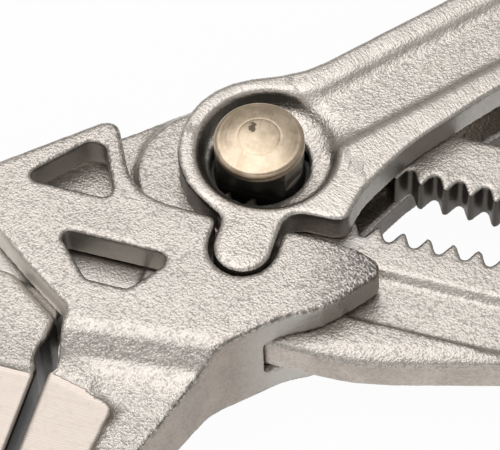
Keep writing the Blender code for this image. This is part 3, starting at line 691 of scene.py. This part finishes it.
jagged = maths(tree, "MULTIPLY_ADD", speckled(tree, spot, 1300.0, 4.0), -2.0 * MM, from_mark.outputs["Value"])
struck = stepped(tree, jagged, -0.25 * MM, -0.6 * MM)
brass = blended(tree, faded(tree, struck, 0.85), brass, struck_dark)
tree.links.new(brass, shader.inputs["Base Color"])
shader.inputs["Metallic"].default_value = 1.0
tree.links.new(maths(tree, "MULTIPLY_ADD", tarnish, 0.2, 0.22), shader.inputs["Roughness"])
relief = maths(tree, "MULTIPLY_ADD", tarnish, 0.3, maths(tree, "MULTIPLY_ADD", struck, -1.5, tool_marks))
bump = wire(tree, "ShaderNodeBump", {"Height": relief, "Strength": 0.3, "Distance": 0.02 * MM})
tree.links.new(bump.outputs["Normal"], shader.inputs["Normal"])
button.data.materials.append(turned_brass)
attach(button, "button")
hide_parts("button_cap")

# Return spring: drawn steel wire wound to a coil, standing on the plug inside the pin.
spring_r = 1.65
spring_low = 1.7
spring_high = 11.0
end_gap = 0.3
wire_r = 0.25 * MM
turns = 7
steps = turns * 24
drawn_dark = (0.24, 0.235, 0.225)
drawn_pale = (0.42, 0.41, 0.40)
coil = bpy.data.curves.new("return_coil", "CURVE")
coil.dimensions = "3D"
coil.bevel_depth = wire_r
coil.bevel_resolution = 3
coil.use_fill_caps = True
spline = coil.splines.new("POLY")
spline.points.add(steps)
for step, point in enumerate(spline.points):
    angle = 2 * pi * turns * step / steps
    height = spring_low + end_gap + (spring_high - spring_low - 2 * end_gap) * step / steps
    point.co = (spring_r * cos(angle) * MM, spring_r * sin(angle) * MM, height * MM, 1)
spring = bpy.data.objects.new("return_coil", coil)
scene.collection.objects.link(spring)
bpy.context.view_layer.update()
wound = bpy.data.meshes.new_from_object(spring.evaluated_get(bpy.context.evaluated_depsgraph_get()))
bpy.data.objects.remove(spring)
wound.shade_smooth()
spring = bpy.data.objects.new("return_coil", wound)
scene.collection.objects.link(spring)
drawn_steel, tree, shader = node_tree("drawn_steel")
spot = wire(tree, "ShaderNodeTexCoord").outputs["Object"]
drawn = wire(tree, "ShaderNodeTexNoise", {"Vector": spot, "Scale": 900.0, "Detail": 3.0}).outputs[0]
tree.links.new(blended(tree, drawn, drawn_dark, drawn_pale), shader.inputs["Base Color"])
shader.inputs["Metallic"].default_value = 1.0
tree.links.new(stepped(tree, drawn, -0.5, 2.0), shader.inputs["Roughness"])
spring.data.materials.append(drawn_steel)
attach(spring, "pivot")
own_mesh(spring)
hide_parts("return_spring")

# Spring plug and retaining ring: a turned disc closes the rear bore and carries the spring.
# It is blackened like the pin, and a split ring of plain spring steel snaps in behind it.
plug_voxel = 0.15 * MM
plug_triangles = 20000
ring_voxel = 0.1 * MM
ring_triangles = 16000
plug = copied("spring_plug", "plug_blackened")
skin(plug, plug_voxel, 2)
dress(plug, "spring_plug", "pivot", plug_triangles, black_steel)
ring = copied("retaining_ring", "ring_split")
skin(ring, ring_voxel, 2)
dress(ring, "retaining_ring", "pivot", ring_triangles, drawn_steel)

# Handle sleeves: soft plastic, formed on the two tangs by dipping them.
# It is matt, with a faint orange peel from the dip and paler scuffs.
grip_voxel = 0.5 * MM
grip_triangles = 60000
plastic_dark = (0.030, 0.031, 0.034)
plastic_scuffed = (0.055, 0.056, 0.06)
dipped, tree, shader = node_tree("dipped_plastic")
spot = wire(tree, "ShaderNodeTexCoord").outputs["Object"]
peel = wire(tree, "ShaderNodeTexNoise", {"Vector": spot, "Scale": 700.0, "Detail": 2.0}).outputs[0]
scuff = wire(tree, "ShaderNodeTexNoise", {"Vector": spot, "Scale": 60.0, "Detail": 6.0,
                                          "Roughness": 0.7}).outputs[0]
plastic = blended(tree, stepped(tree, scuff, 0.35, 0.75), plastic_dark, plastic_scuffed)
tree.links.new(plastic, shader.inputs["Base Color"])
tree.links.new(maths(tree, "MULTIPLY_ADD", scuff, 0.25, 0.42), shader.inputs["Roughness"])
bump = wire(tree, "ShaderNodeBump", {"Height": peel, "Strength": 0.5, "Distance": 0.05 * MM})
tree.links.new(bump.outputs["Normal"], shader.inputs["Normal"])
for node, body in (("main_handle_sleeve", "fixed_arm"), ("lever_handle_sleeve", "lever")):
    grip = copied(node, node + "_dipped")
    skin(grip, grip_voxel, 8)
    dress(grip, node, body, grip_triangles, dipped)

# Floor: a wide pale sheet that the tool lies on. It shows white to the eye and to the metal,
# and keeps a faint shadow of the tool.
floor_half = 3.0
floor_drop = 0.2 * MM
white_share = 0.96
sheet = bmesh.new()
bmesh.ops.create_grid(sheet, x_segments=1, y_segments=1, size=floor_half)
bmesh.ops.translate(sheet, verts=sheet.verts, vec=(0, 0, -floor_drop))
sheet_mesh = bpy.data.meshes.new("floor")
sheet.to_mesh(sheet_mesh)
sheet.free()
floor = bpy.data.objects.new("floor", sheet_mesh)
scene.collection.objects.link(floor)
pale, tree, shader = node_tree("pale_floor")
shader.inputs["Base Color"].default_value = (0.9, 0.9, 0.9, 1)
shader.inputs["Roughness"].default_value = 0.9
ray = wire(tree, "ShaderNodeLightPath").outputs
seen = maths(tree, "MAXIMUM", ray["Is Camera Ray"], ray["Is Glossy Ray"])
seen = maths(tree, "MAXIMUM", seen, ray["Is Transmission Ray"])
white = wire(tree, "ShaderNodeEmission", {"Color": (1, 1, 1, 1), "Strength": 1.0}).outputs[0]
mix = wire(tree, "ShaderNodeMixShader", {0: faded(tree, seen, white_share), 1: shader.outputs[0], 2: white})
tree.links.new(mix.outputs[0], tree.nodes["Material Output"].inputs["Surface"])
floor.data.materials.append(pale)

# Light: one soft box overhead, a little to the far left, and two weaker lamps,
# one on the near side and one on the left, in an evenly lit pale room.
def soft_lamp(name, stands, wide, high, watts):
    """A rectangular lamp that faces the tool."""
    panel = bpy.data.lights.new(name, "AREA")
    panel.shape = "RECTANGLE"
    panel.size = wide
    panel.size_y = high
    panel.energy = watts
    lamp = bpy.data.objects.new(name, panel)
    lamp.location = stands
    lamp.rotation_euler = lamp.location.to_track_quat("Z", "Y").to_euler()
    scene.collection.objects.link(lamp)


soft_lamp("soft_box", stands=(-0.25, 0.12, 1.0), wide=1.1, high=0.8, watts=4.75)
soft_lamp("near_fill", stands=(0.3, -0.9, 0.55), wide=1.0, high=0.6, watts=1.2)
soft_lamp("left_fill", stands=(-0.9, -0.45, 0.45), wide=0.8, high=0.6, watts=0.6)
room = bpy.data.worlds.new("room")
room.use_nodes = True
glow = room.node_tree.nodes["Background"]
glow.inputs["Color"].default_value = (1.0, 0.985, 0.965, 1)
glow.inputs["Strength"].default_value = 0.42
scene.world = room
